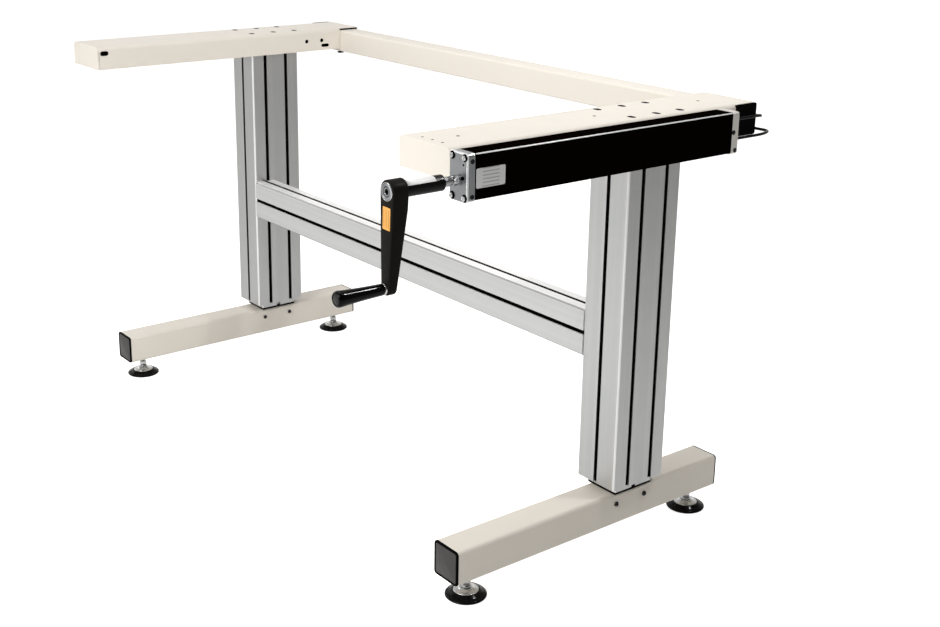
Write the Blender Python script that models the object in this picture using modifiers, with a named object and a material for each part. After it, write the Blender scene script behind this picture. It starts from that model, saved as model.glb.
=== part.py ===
"""Workbench frame with two hydraulic telescopic legs, raised and lowered by a hand crank.

Lengths in this file are millimetres and are scaled to metres in the helper functions.
X runs along the bench from the left leg to the right leg, Y from front to rear, Z up.
Design coordinates have X = 0 midway between the legs and Y = 0 at the middle of the
legs. The root empty shifts them so that the model's origin is below the middle of its box.
"""
from math import asin, cos, degrees, pi, radians, sin

import bmesh
import bpy
from mathutils import Vector

MM = 0.001
GAP = 0.3

# overall layout
CENTRE_X = 18.6
CENTRE_Y = -195.45
LEG_X = 600.0

# feet
FOOT_SIZE = 60.0
FOOT_WALL = 3.0
FOOT_BOTTOM = 41.0
FOOT_TOP = FOOT_BOTTOM + FOOT_SIZE
FOOT_MIDDLE = FOOT_BOTTOM + FOOT_SIZE / 2
FOOT_FRONT = -386.0
FOOT_REAR = 224.0
FOOT_CAP_PLATE = 3.7
FOOT_CAP_PLUG = 14.0
LEVELLER_INSET = 43.5
STUD_RADIUS = 5.0
BOLT_Y = 34.0
BOLT_Z = 81.0
BOLT_RADIUS = 4.0
SOLE_THICKNESS = 4.0

# telescopic legs
COLUMN_Y = 2.0
OUTER_WIDTH = 90.0
OUTER_DEPTH = 121.0
OUTER_BOTTOM = 117.0
OUTER_TOP = 757.0
CAVITY_WIDTH = 72.0
CAVITY_DEPTH = 92.0
SIDE_SLOT_Y = 27.0
INNER_WIDTH = 68.0
INNER_DEPTH = 88.0
INNER_BOTTOM = FOOT_TOP + GAP + SOLE_THICKNESS + GAP
INNER_TOP = 690.0
BUSH_LENGTH = 30.0
BARREL_RADIUS = 20.0
BARREL_BORE = 10.8
BARREL_BOTTOM = 165.0
PORT_Z = 732.0
PORT_END = 67.0
ROD_RADIUS = 8.0
ROD_TOP = 662.0

# T-slots: width at the mouth, width behind the lips, lip thickness, total depth
T_SLOT = (8.0, 14.0, 2.5, 6.5)
PLAIN_GROOVE = (9.0, 9.0, 2.5, 5.0)

# top frame
BEAM_WIDTH = 122.0
BEAM_HEIGHT = 48.0
BEAM_TOP = 767.0
BEAM_BOTTOM = BEAM_TOP - BEAM_HEIGHT
BEAM_FRONT = -435.0
BEAM_REAR = 220.0
SHEET = 3.0
BEND_RADIUS = 8.0
CROSSBAR_SIZE = 50.0
CROSSBAR_WALL = 3.0
CROSSBAR_Y = BEAM_REAR - CROSSBAR_SIZE / 2
CROSSBAR_TOP = 762.0
CROSSBAR_Z = CROSSBAR_TOP - CROSSBAR_SIZE / 2
CROSSBAR_END = 660.8
CROSSBAR_CAP_HEIGHT = 54.4
CROSSBAR_CAP_Z = 739.5
TOP_SLOT_X = 39.0
TOP_SLOT_Y = (-54.0, 2.0, 57.0)
TOP_SLOT_SIZE = (15.0, 7.0)
TOP_HOLES = ((-24.0, -420.0, 2.2), (0.0, -420.0, 2.2), (24.0, -420.0, 2.2),
             (0.0, -373.0, 3.0), (0.0, -98.0, 3.0), (0.0, 144.0, 3.0))
LOWER_BAR_DEPTH = 52.0
LOWER_BAR_HEIGHT = 84.0
LOWER_BAR_Z = 380.0

# pump
PUMP_X = 681.0
PUMP_WIDTH = 39.4
PUMP_HEIGHT = 68.0
PUMP_Z = 731.0
PUMP_FRONT = -421.0
PUMP_REAR = 117.0
PLATE_HEIGHT = 70.4
PLATE_Z = 730.2
FRONT_PLATE_DEPTH = 13.7
REAR_PLATE_DEPTH = 15.0
PUMP_SCREW_X = 14.0
PUMP_SCREW_Z = 29.0
PUMP_BORE = 15.0
FITTING_LENGTH = 11.0
FITTING_Z = {"right": 748.0, "left": 715.0}
HOSE_RADIUS = 2.5
HOSE_HOLE = 4.6

# crank
CRANK_X = 682.5
CRANK_LEAN = 1.94
AXIS_Z = 726.3
SHAFT_RADIUS = 7.3
SCREW_RADIUS = 6.0
SLEEVE_REAR = -466.0
SLEEVE_RADIUS = 11.7
HUB_REAR = -533.0
HUB_FRONT = -559.0
HUB_RADIUS = 16.3
HUB_CAP_RADIUS = 11.5
HUB_CAP_DEPTH = 3.0
ARM_LENGTH = 138.5
ARM_TIP_RADIUS = 10.0
GRIP_Z = AXIS_Z - ARM_LENGTH
COLLAR_FRONT = -562.5
GRIP_FRONT = -640.2
PIN_RADIUS = 4.0

FINISHES = {
    "cream_paint": ((0.78, 0.72, 0.62), 0.45, 0.0),
    "anodised_aluminium": ((0.62, 0.63, 0.64), 0.38, 1.0),
    "bright_steel": ((0.72, 0.72, 0.72), 0.22, 1.0),
    "dark_steel": ((0.10, 0.10, 0.11), 0.5, 1.0),
    "black_plastic": ((0.02, 0.02, 0.02), 0.5, 0.0),
    "black_rubber": ((0.018, 0.018, 0.018), 0.85, 0.0),
    "black_anodised": ((0.016, 0.014, 0.013), 0.4, 0.6),
    "grey_casting": ((0.36, 0.37, 0.38), 0.42, 1.0),
    "dark_grey_paint": ((0.035, 0.035, 0.038), 0.42, 0.0),
    "gloss_black": ((0.01, 0.01, 0.01), 0.15, 0.0),
}

LEGS = {"left": -LEG_X, "right": LEG_X}
FOOT_ENDS = {"front": FOOT_FRONT + LEVELLER_INSET, "rear": FOOT_REAR - LEVELLER_INSET}

# object rotations that turn a solid built along local Z onto another axis
OUTLINE_TURN = {"X": (pi / 2, 0.0, pi / 2), "Y": (pi / 2, 0.0, 0.0), "Z": (0.0, 0.0, 0.0)}
ROUND_TURN = {"X": (0.0, pi / 2, 0.0), "Y": (-pi / 2, 0.0, 0.0), "Z": (0.0, 0.0, 0.0)}


def clear_scene():
    """Start from an empty file."""
    for scene_object in list(bpy.data.objects):
        bpy.data.objects.remove(scene_object)


def new_collection(name):
    collection = bpy.data.collections.new(name)
    bpy.context.scene.collection.children.link(collection)
    return collection


clear_scene()
PARTS = new_collection("workbench_frame")
CUTTERS = new_collection("cutters")


# ---------------------------------------------------------------- placing

def pivot(name, at, parent=None):
    """An empty that carries a group of pieces; its design position is kept on it."""
    empty = bpy.data.objects.new(name, None)
    empty.empty_display_size = 40 * MM
    PARTS.objects.link(empty)
    empty["design_position"] = at
    place(empty, at, parent)
    return empty


def place(item, at, parent):
    """Put an object at a design position, measured from its parent empty."""
    origin = Vector(parent["design_position"]) if parent else Vector((CENTRE_X, CENTRE_Y, 0))
    item.parent = parent
    item.location = (Vector(at) - origin) * MM


def paint(item, finish):
    colour, roughness, metallic = FINISHES[finish]
    material = bpy.data.materials.new(f"{item.name}_{finish}")
    material.use_nodes = True
    shader = material.node_tree.nodes["Principled BSDF"]
    shader.inputs["Base Color"].default_value = (*colour, 1.0)
    shader.inputs["Roughness"].default_value = roughness
    shader.inputs["Metallic"].default_value = metallic
    material.diffuse_color = (*colour, 1.0)
    item.data.materials.append(material)


def finish_part(item, at, parent, finish):
    PARTS.objects.link(item)
    place(item, at, parent)
    paint(item, finish)
    return item


def make_cutter(item, at, parent):
    """A hidden shape that a Boolean reads."""
    CUTTERS.objects.link(item)
    place(item, at, parent)
    item.hide_render = True
    item.display_type = "WIRE"
    return item


def join(item, other, operation):
    modifier = item.modifiers.new(f"{operation.lower()} {other.name}", "BOOLEAN")
    modifier.operation = operation
    modifier.solver = "EXACT"
    modifier.object = other


# ---------------------------------------------------------------- shapes

def box(name, size):
    """A block centred on its origin."""
    mesh = bpy.data.meshes.new(name)
    shape = bmesh.new()
    bmesh.ops.create_cube(shape, size=1.0)
    bmesh.ops.scale(shape, vec=Vector(size) * MM, verts=shape.verts)
    shape.to_mesh(mesh)
    shape.free()
    return bpy.data.objects.new(name, mesh)


def rod(name, radius, length, axis, segments=16):
    """A plain cylinder centred on its origin."""
    mesh = bpy.data.meshes.new(name)
    shape = bmesh.new()
    bmesh.ops.create_cone(shape, cap_ends=True, segments=segments, depth=length * MM,
                          radius1=radius * MM, radius2=radius * MM)
    shape.to_mesh(mesh)
    shape.free()
    item = bpy.data.objects.new(name, mesh)
    item.rotation_euler = ROUND_TURN[axis]
    return item


def turned(name, profile, axis, segments=24, closed=False):
    """A turned solid: (radius, station) points run down the outer side, top to bottom."""
    mesh = bpy.data.meshes.new(name)
    points = [(radius * MM, 0.0, station * MM) for radius, station in profile]
    edges = [(i, i + 1) for i in range(len(points) - 1)]
    if closed:
        edges.append((len(points) - 1, 0))
    mesh.from_pydata(points, edges, [])
    item = bpy.data.objects.new(name, mesh)
    item.rotation_euler = ROUND_TURN[axis]
    screw = item.modifiers.new("turn", "SCREW")
    screw.steps = segments
    screw.render_steps = segments
    screw.use_merge_vertices = True
    screw.merge_threshold = 0.00005
    return item


def extrusion(name, outlines, axis, length):
    """A solid of constant section; every outline after the first is a hole."""
    curve = bpy.data.curves.new(name, "CURVE")
    curve.dimensions = "2D"
    curve.fill_mode = "BOTH"
    curve.extrude = length / 2 * MM
    for outline in outlines:
        spline = curve.splines.new("POLY")
        spline.points.add(len(outline) - 1)
        spline.use_cyclic_u = True
        for point, (across, up) in zip(spline.points, outline):
            point.co = (across * MM, up * MM, 0.0, 1.0)
    drawing = bpy.data.objects.new(f"{name}_outline", curve)
    CUTTERS.objects.link(drawing)
    evaluated = drawing.evaluated_get(bpy.context.evaluated_depsgraph_get())
    mesh = bpy.data.meshes.new_from_object(evaluated)
    mesh.name = name
    bpy.data.objects.remove(drawing)
    shape = bmesh.new()
    shape.from_mesh(mesh)
    bmesh.ops.remove_doubles(shape, verts=shape.verts, dist=0.00001)
    shape.to_mesh(mesh)
    shape.free()
    item = bpy.data.objects.new(name, mesh)
    item.rotation_euler = OUTLINE_TURN[axis]
    return item


def arc(centre, radius, start, end, steps):
    """Points on a circle from one angle to another, in degrees."""
    points = []
    for step in range(steps + 1):
        angle = radians(start + (end - start) * step / steps)
        points.append((centre[0] + radius * cos(angle), centre[1] + radius * sin(angle)))
    return points


def circle(radius, centre=(0.0, 0.0), steps=24):
    return arc(centre, radius, 0, 360, steps)[:-1]


def rounded_rectangle(width, height, radius, steps=3):
    across, up = width / 2 - radius, height / 2 - radius
    corners = ((across, up, 0), (-across, up, 90), (-across, -up, 180), (across, -up, 270))
    points = []
    for x, y, start in corners:
        points += arc((x, y), radius, start, start + 90, steps)
    return points


def obround(length, width, steps=6):
    """A slot with round ends, lengthwise along the first axis."""
    reach = (length - width) / 2
    return (arc((reach, 0), width / 2, -90, 90, steps)
            + arc((-reach, 0), width / 2, 90, 270, steps))


def slotted_rectangle(width, height, slots, slot_shape, corner):
    """Section of a slotted profile, listed anticlockwise from its lower left corner.

    slots gives the slot centres on the sides across the first and the second axis.
    """
    mouth, groove, lip, depth = slot_shape
    sides = (((-1, -1), (1, 0), width, slots[0]), ((1, -1), (0, 1), height, slots[1]),
             ((1, 1), (-1, 0), width, slots[0]), ((-1, 1), (0, -1), height, slots[1]))
    points = []
    for (corner_x, corner_y), (along_x, along_y), length, centres in sides:
        start = Vector((corner_x * width / 2, corner_y * height / 2))
        along = Vector((along_x, along_y))
        inward = Vector((-along_y, along_x))
        path = [(corner, 0.0)]
        for centre in centres:
            middle = length / 2 + centre
            half_path = ((mouth / 2, 0.0), (mouth / 2, lip), (groove / 2, lip), (groove / 2, depth))
            path += [(middle - reach, sunk) for reach, sunk in half_path]
            path += [(middle + reach, sunk) for reach, sunk in reversed(half_path)]
        for step in range(5):
            angle = pi / 2 * step / 4
            path.append((length - corner + corner * sin(angle), corner * (1 - cos(angle))))
        points += [tuple(start + along * run + inward * sunk) for run, sunk in path]
    return without_repeats(points)


def without_repeats(points):
    """Drop points that stand on the one before."""
    kept = []
    for point in points:
        if not kept or (Vector(point) - Vector(kept[-1])).length > 0.01:
            kept.append(point)
    return kept


def smooth_route(waypoints, spacing):
    """Points along a Catmull-Rom curve through the waypoints, about spacing apart."""
    knots = [Vector(point) for point in waypoints]
    knots = [2 * knots[0] - knots[1]] + knots + [2 * knots[-1] - knots[-2]]
    points = [knots[1]]
    for before, start, end, after in zip(knots, knots[1:], knots[2:], knots[3:]):
        steps = max(1, round((end - start).length / spacing))
        for step in range(1, steps + 1):
            t = step / steps
            points.append(0.5 * (2 * start + (end - before) * t
                                 + (2 * before - 5 * start + 4 * end - after) * t ** 2
                                 + (3 * start - before - 3 * end + after) * t ** 3))
    return points


def tube(name, points, radius):
    """A round hose along a list of points."""
    curve = bpy.data.curves.new(name, "CURVE")
    curve.dimensions = "3D"
    curve.bevel_depth = radius * MM
    curve.bevel_resolution = 2
    curve.use_fill_caps = True
    spline = curve.splines.new("POLY")
    spline.points.add(len(points) - 1)
    for knot, point in zip(spline.points, points):
        knot.co = (*(Vector(point) * MM), 1.0)
    return bpy.data.objects.new(name, curve)


# ---------------------------------------------------------------- feet and levellers

def foot_tube(side, parent):
    x = LEGS[side]
    hollow = FOOT_SIZE - 2 * FOOT_WALL
    outlines = (rounded_rectangle(FOOT_SIZE, FOOT_SIZE, 6, 4),
                rounded_rectangle(hollow, hollow, 3))
    front = FOOT_FRONT + FOOT_CAP_PLATE + GAP
    rear = FOOT_REAR - FOOT_CAP_PLATE - GAP
    middle = (front + rear) / 2
    item = extrusion(f"foot_tube_{side}", outlines, "Y", rear - front)
    finish_part(item, (x, middle, FOOT_MIDDLE), parent, "cream_paint")
    for end, y in FOOT_ENDS.items():
        hole = rod(f"stud_hole_{end}_{side}", STUD_RADIUS + 0.5, 12, "Z")
        join(item, make_cutter(hole, (x, y, FOOT_BOTTOM), parent), "DIFFERENCE")
    for end, y in (("front", -BOLT_Y), ("rear", BOLT_Y)):
        hole = rod(f"bolt_hole_{end}_{side}", BOLT_RADIUS + 0.4, FOOT_SIZE + 20, "X", 12)
        join(item, make_cutter(hole, (x, y, BOLT_Z), parent), "DIFFERENCE")
    window = box(f"anchor_window_{side}", (42, 62, 12))
    join(item, make_cutter(window, (x, 0, FOOT_TOP), parent), "DIFFERENCE")


def foot_cap(end, side, parent):
    x = LEGS[side]
    outward = -1 if end == "front" else 1
    face = FOOT_FRONT if end == "front" else FOOT_REAR
    item = extrusion(f"foot_cap_{end}_{side}", (rounded_rectangle(FOOT_SIZE, FOOT_SIZE, 6, 4),),
                     "Y", FOOT_CAP_PLATE)
    y = face - outward * FOOT_CAP_PLATE / 2
    finish_part(item, (x, y, FOOT_MIDDLE), parent, "black_plastic")
    plug_size = FOOT_SIZE - 2 * FOOT_WALL - 1
    plug = extrusion(f"foot_plug_{end}_{side}", (rounded_rectangle(plug_size, plug_size, 3),),
                     "Y", FOOT_CAP_PLUG)
    plug_y = face - outward * (1 + FOOT_CAP_PLUG / 2)
    join(item, make_cutter(plug, (x, plug_y, FOOT_MIDDLE), parent), "UNION")


def leg_anchor(side, parent):
    """Steel block inside the foot tube, with a neck up to the sole plate."""
    x = LEGS[side]
    block_height = FOOT_SIZE - 2 * FOOT_WALL - 1
    item = box(f"leg_anchor_{side}", (50, 110, block_height))
    finish_part(item, (x, 0, FOOT_MIDDLE), parent, "dark_steel")
    neck_bottom = FOOT_TOP - 10
    neck = box(f"anchor_neck_{side}", (41, 61, FOOT_TOP - neck_bottom))
    join(item, make_cutter(neck, (x, 0, (neck_bottom + FOOT_TOP) / 2), parent), "UNION")
    for end, y in (("front", -BOLT_Y), ("rear", BOLT_Y)):
        bore = rod(f"anchor_bore_{end}_{side}", BOLT_RADIUS + 0.4, FOOT_SIZE + 20, "X", 12)
        join(item, make_cutter(bore, (x, y, BOLT_Z), parent), "DIFFERENCE")


def leg_sole(side, parent):
    item = box(f"leg_sole_{side}", (INNER_WIDTH - 1, INNER_DEPTH - 1, SOLE_THICKNESS))
    z = FOOT_TOP + GAP + SOLE_THICKNESS / 2
    finish_part(item, (LEGS[side], COLUMN_Y, z), parent, "black_plastic")


def foot_bolt(end, side, parent):
    """Cross bolt with a button head on each side of the foot tube."""
    face = FOOT_SIZE / 2 + GAP
    head = ((4.2, face + 3), (5.2, face + 2), (5.2, face), (BOLT_RADIUS, face))
    tail = [(radius, -station) for radius, station in reversed(head)]
    profile = [(0.0, face + 3), *head, *tail, (0.0, -face - 3)]
    item = turned(f"foot_bolt_{end}_{side}", profile, "X", 16)
    y = -BOLT_Y if end == "front" else BOLT_Y
    finish_part(item, (LEGS[side], y, BOLT_Z), parent, "bright_steel")


def leveller(end, side, parent):
    """Rubber pad and the stud with its ball and dish, which screw out of the foot."""
    at = (LEGS[side], FOOT_ENDS[end], 0)
    group = pivot(f"level_axis_{end}_{side}", at, parent)
    pad_profile = ((0, 7), (30, 7), (35, 5), (35, 1.5), (33.5, 0), (0, 0))
    pad = turned(f"level_pad_{end}_{side}", pad_profile, "Z", 32)
    finish_part(pad, at, group, "black_rubber")
    dish = 7 + GAP
    stem_profile = ((0, 72), (4.2, 72), (STUD_RADIUS, 71), (STUD_RADIUS, 20), (7.4, 18.4),
                    (8.6, 15), (8, 12.2), (12, 11), (20, 9.4), (21.3, dish), (0, dish))
    stem = turned(f"level_stem_{end}_{side}", stem_profile, "Z", 20)
    finish_part(stem, at, group, "bright_steel")


# ---------------------------------------------------------------- telescopic legs

def inner_column(side, parent):
    outlines = (slotted_rectangle(INNER_WIDTH, INNER_DEPTH, ((0.0,), (0.0,)), PLAIN_GROOVE, 3.0),
                rounded_rectangle(50, 70, 3, 2))
    item = extrusion(f"inner_column_{side}", outlines, "Z", INNER_TOP - INNER_BOTTOM)
    z = (INNER_TOP + INNER_BOTTOM) / 2
    finish_part(item, (LEGS[side], COLUMN_Y, z), parent, "anodised_aluminium")


def piston_rod(side, parent):
    piston = BARREL_BORE - 0.4
    crown = ROD_TOP - 22
    profile = ((0, ROD_TOP), (piston, ROD_TOP), (piston, crown), (ROD_RADIUS, crown),
               (ROD_RADIUS, INNER_BOTTOM), (0, INNER_BOTTOM))
    item = turned(f"piston_rod_{side}", profile, "Z", 20)
    finish_part(item, (LEGS[side], COLUMN_Y, 0), parent, "bright_steel")


def outer_column(side, parent):
    outlines = (slotted_rectangle(OUTER_WIDTH, OUTER_DEPTH,
                                  ((0.0,), (-SIDE_SLOT_Y, SIDE_SLOT_Y)), T_SLOT, 5.0),
                rounded_rectangle(CAVITY_WIDTH, CAVITY_DEPTH, 4, 2))
    item = extrusion(f"outer_column_{side}", outlines, "Z", OUTER_TOP - OUTER_BOTTOM)
    x = LEGS[side]
    middle = (OUTER_TOP + OUTER_BOTTOM) / 2
    finish_part(item, (x, COLUMN_Y, middle), parent, "anodised_aluminium")
    hole = rod(f"port_hole_{side}", 7.5, 30, "Y")
    rear_wall = COLUMN_Y + OUTER_DEPTH / 2 - 6
    join(item, make_cutter(hole, (x, rear_wall, PORT_Z), parent), "DIFFERENCE")


def slide_bush(side, parent):
    outlines = (rounded_rectangle(CAVITY_WIDTH - 0.6, CAVITY_DEPTH - 0.6, 3.7, 2),
                rounded_rectangle(INNER_WIDTH + 0.6, INNER_DEPTH + 0.6, 2.3, 2))
    item = extrusion(f"slide_bush_{side}", outlines, "Z", BUSH_LENGTH)
    z = OUTER_BOTTOM + GAP + BUSH_LENGTH / 2
    finish_part(item, (LEGS[side], COLUMN_Y, z), parent, "black_plastic")


def column_head(side, parent):
    bottom, top = OUTER_TOP + GAP, BEAM_TOP - SHEET - GAP
    item = box(f"column_head_{side}", (104, 124, top - bottom))
    finish_part(item, (LEGS[side], COLUMN_Y, (bottom + top) / 2), parent, "dark_steel")


def cylinder(side, parent):
    """Hydraulic barrel, open at its gland, with the hose port near its head."""
    x = LEGS[side]
    profile = ((0, OUTER_TOP), (BARREL_RADIUS, OUTER_TOP), (BARREL_RADIUS, BARREL_BOTTOM),
               (ROD_RADIUS + 0.4, BARREL_BOTTOM), (ROD_RADIUS + 0.4, BARREL_BOTTOM + 25),
               (BARREL_BORE, BARREL_BOTTOM + 25), (BARREL_BORE, OUTER_TOP - 16),
               (0, OUTER_TOP - 16))
    item = turned(f"cylinder_{side}", profile, "Z", 24)
    finish_part(item, (x, COLUMN_Y, 0), parent, "dark_steel")
    port_start = COLUMN_Y + BARREL_BORE + 3
    port = rod(f"port_{side}", 6.5, PORT_END - port_start, "Y", 12)
    join(item, make_cutter(port, (x, (port_start + PORT_END) / 2, PORT_Z), parent), "UNION")


# ---------------------------------------------------------------- top frame

def channel_outline():
    """Inverted U of folded sheet, measured from the middle of its open bottom."""
    half, inner = BEAM_WIDTH / 2, BEAM_WIDTH / 2 - SHEET
    outer_bend, inner_bend = BEND_RADIUS, BEND_RADIUS - SHEET
    outside = (arc((half - outer_bend, BEAM_HEIGHT - outer_bend), outer_bend, 0, 90, 4)
               + arc((outer_bend - half, BEAM_HEIGHT - outer_bend), outer_bend, 90, 180, 4))
    underside = BEAM_HEIGHT - SHEET - inner_bend
    inside = (arc((inner_bend - inner, underside), inner_bend, 180, 90, 2)
              + arc((inner - inner_bend, underside), inner_bend, 90, 0, 2))
    return [(half, 0.0), *outside, (-half, 0.0), (-inner, 0.0), *inside, (inner, 0.0)]


def flap_outline():
    """Front flap, the full section of the channel."""
    half = BEAM_WIDTH / 2
    left = arc((BEND_RADIUS - half, BEAM_HEIGHT - BEND_RADIUS), BEND_RADIUS, 90, 180, 4)
    right = arc((half - BEND_RADIUS, BEAM_HEIGHT - BEND_RADIUS), BEND_RADIUS, 0, 90, 4)
    return [(half, 0.0), *right, *left, (-half, 0.0)]


def top_beam(side, parent):
    x = LEGS[side]
    front = BEAM_FRONT + SHEET / 2
    length = BEAM_REAR - front
    item = extrusion(f"top_beam_{side}", (channel_outline(),), "Y", length)
    finish_part(item, (x, (front + BEAM_REAR) / 2, BEAM_BOTTOM), parent, "cream_paint")
    flap = extrusion(f"beam_flap_{side}", (flap_outline(),), "Y", SHEET)
    flap_at = (x, BEAM_FRONT + SHEET / 2, BEAM_BOTTOM)
    join(item, make_cutter(flap, flap_at, parent), "UNION")

    seam = box(f"flap_seam_{side}", (BEAM_WIDTH + 20, 1.6, 50))
    seam_at = (x, BEAM_FRONT + SHEET + 0.6, BEAM_TOP - BEND_RADIUS - 25)
    join(item, make_cutter(seam, seam_at, parent), "DIFFERENCE")

    notch_front = CROSSBAR_Y - CROSSBAR_SIZE / 2 - GAP
    notch_top = BEAM_TOP - SHEET - 0.4
    notch = box(f"crossbar_notch_{side}", (BEAM_WIDTH + 20, 80, 80))
    join(item, make_cutter(notch, (x, notch_front + 40, notch_top - 40), parent), "DIFFERENCE")

    for row, y in enumerate(TOP_SLOT_Y, 1):
        for column, offset in enumerate((-TOP_SLOT_X, TOP_SLOT_X), 1):
            slot = extrusion(f"top_slot_{side}_{row}{column}", (obround(*TOP_SLOT_SIZE),), "Z", 12)
            join(item, make_cutter(slot, (x + offset, y, BEAM_TOP), parent), "DIFFERENCE")
    for number, (offset, y, radius) in enumerate(TOP_HOLES, 1):
        hole = rod(f"top_hole_{side}_{number}", radius, 12, "Z", 12)
        join(item, make_cutter(hole, (x + offset, y, BEAM_TOP), parent), "DIFFERENCE")

    through = BEAM_WIDTH + 20
    for number, y in enumerate((78.0, 119.0), 1):
        hole = rod(f"side_hole_{side}_{number}", 4.6, through, "X", 16)
        join(item, make_cutter(hole, (x, y, 742), parent), "DIFFERENCE")
    for name, y, z, length, width in (("front", -419.5, 753, 19, 10), ("rear", 128, 730, 21, 7.4)):
        slot = extrusion(f"side_slot_{name}_{side}", (obround(length, width),), "X", through)
        join(item, make_cutter(slot, (x, y, z), parent), "DIFFERENCE")


def rear_crossbar(parent):
    outlines = (rounded_rectangle(CROSSBAR_SIZE, CROSSBAR_SIZE, 4),
                rounded_rectangle(CROSSBAR_SIZE - 2 * CROSSBAR_WALL,
                                  CROSSBAR_SIZE - 2 * CROSSBAR_WALL, 2, 2))
    item = extrusion("rear_crossbar", outlines, "X", 2 * CROSSBAR_END)
    finish_part(item, (0, CROSSBAR_Y, CROSSBAR_Z), parent, "cream_paint")
    rear_wall, front_wall = BEAM_REAR, BEAM_REAR - CROSSBAR_SIZE
    holes = {"right_in": (HOSE_ROUTE["right"][5][0], rear_wall, HOSE_ROUTE["right"][5][2]),
             "right_out": (HOSE_ROUTE["right"][7][0], front_wall, HOSE_ROUTE["right"][7][2]),
             "left_in": (HOSE_ROUTE["left"][5][0], rear_wall, HOSE_ROUTE["left"][5][2]),
             "left_out": (-LEG_X, front_wall, HOSE_ROUTE["left"][-3][2])}
    for name, at in holes.items():
        hole = rod(f"hose_hole_{name}", HOSE_HOLE, 16, "Y", 12)
        join(item, make_cutter(hole, at, parent), "DIFFERENCE")


def crossbar_cap(side, parent):
    outward = -1 if side == "left" else 1
    thickness = 2.4
    outline = rounded_rectangle(CROSSBAR_SIZE, CROSSBAR_CAP_HEIGHT, 4)
    item = extrusion(f"crossbar_cap_{side}", (outline,), "X", thickness)
    x = outward * (CROSSBAR_END + GAP + thickness / 2)
    finish_part(item, (x, CROSSBAR_Y, CROSSBAR_CAP_Z), parent, "black_plastic")
    plug_size = CROSSBAR_SIZE - 2 * CROSSBAR_WALL - 2
    plug = box(f"crossbar_plug_{side}", (8, plug_size, plug_size))
    plug_x = outward * (CROSSBAR_END - 2)
    join(item, make_cutter(plug, (plug_x, CROSSBAR_Y, CROSSBAR_Z), parent), "UNION")


def crossbar_clip(side, parent):
    """Black clip under the crossbar at the inner wall of the beam."""
    item = box(f"crossbar_clip_{side}", (9, 12, 3.4))
    inward = 1 if side == "left" else -1
    x = LEGS[side] + inward * (BEAM_WIDTH / 2 - 6)
    z = CROSSBAR_TOP - CROSSBAR_SIZE - GAP - 1.7
    finish_part(item, (x, BEAM_REAR - CROSSBAR_SIZE + 5, z), parent, "black_plastic")


def lower_crossbar(parent):
    outlines = (slotted_rectangle(LOWER_BAR_DEPTH, LOWER_BAR_HEIGHT, ((0.0,), (0.0,)), T_SLOT, 4.5),
                rounded_rectangle(32, 64, 3, 2))
    length = 2 * (LEG_X - OUTER_WIDTH / 2 - GAP)
    item = extrusion("lower_crossbar", outlines, "X", length)
    y = COLUMN_Y + (LOWER_BAR_DEPTH - OUTER_DEPTH) / 2
    finish_part(item, (0, y, LOWER_BAR_Z), parent, "anodised_aluminium")


# ---------------------------------------------------------------- pump and hoses

def pump_screw_places():
    return [(sideways, height) for height in (PUMP_SCREW_Z, -PUMP_SCREW_Z)
            for sideways in (-PUMP_SCREW_X, PUMP_SCREW_X)]


def pump_outlines(height, middle, corner, centre_hole, screw_holes=True):
    """End view of a pump piece: its rounded edge, the hole on the crank axis, screw holes."""
    outlines = [rounded_rectangle(PUMP_WIDTH, height, corner)]
    if centre_hole:
        outlines.append(circle(centre_hole, (CRANK_X - PUMP_X, AXIS_Z - middle)))
    if screw_holes:
        for sideways, up in pump_screw_places():
            outlines.append(circle(2.9, (sideways, PLATE_Z + up - middle), 12))
    return outlines


def pump(parent):
    housing = extrusion("pump_housing", pump_outlines(PUMP_HEIGHT, PUMP_Z, 3, PUMP_BORE), "Y",
                        PUMP_REAR - PUMP_FRONT)
    finish_part(housing, (PUMP_X, (PUMP_REAR + PUMP_FRONT) / 2, PUMP_Z), parent, "black_anodised")

    front_outlines = pump_outlines(PLATE_HEIGHT, PLATE_Z, 5, SHAFT_RADIUS + 0.4)
    front = extrusion("pump_front_plate", front_outlines, "Y", FRONT_PLATE_DEPTH)
    front_y = PUMP_FRONT - GAP - FRONT_PLATE_DEPTH / 2
    finish_part(front, (PUMP_X, front_y, PLATE_Z), parent, "grey_casting")

    rear = extrusion("pump_rear_plate", pump_outlines(PLATE_HEIGHT, PLATE_Z, 5, None, False),
                     "Y", REAR_PLATE_DEPTH)
    rear_y = PUMP_REAR + GAP + REAR_PLATE_DEPTH / 2
    finish_part(rear, (PUMP_X, rear_y, PLATE_Z), parent, "grey_casting")

    head_back = BEAM_FRONT - GAP
    profile = ((0, -405), (2.5, -405), (2.5, head_back), (4.6, head_back),
               (4.6, head_back - 2.8), (4.0, head_back - 3.4), (0, head_back - 3.4))
    for number, (sideways, up) in enumerate(pump_screw_places(), 1):
        screw = turned(f"pump_screw_{number}", profile, "Y", 16)
        finish_part(screw, (PUMP_X + sideways, 0, PLATE_Z + up), parent, "dark_steel")


def hose_fitting(side, parent):
    start = PUMP_REAR + 2 * GAP + REAR_PLATE_DEPTH
    end = start + FITTING_LENGTH
    profile = ((0, end), (4, end), (4, end - 3.5), (5.8, end - 4.5), (5.8, start), (0, start))
    item = turned(f"hose_fitting_{side}", profile, "Y", 12)
    finish_part(item, (PUMP_X, 0, FITTING_Z[side]), parent, "bright_steel")


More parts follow.
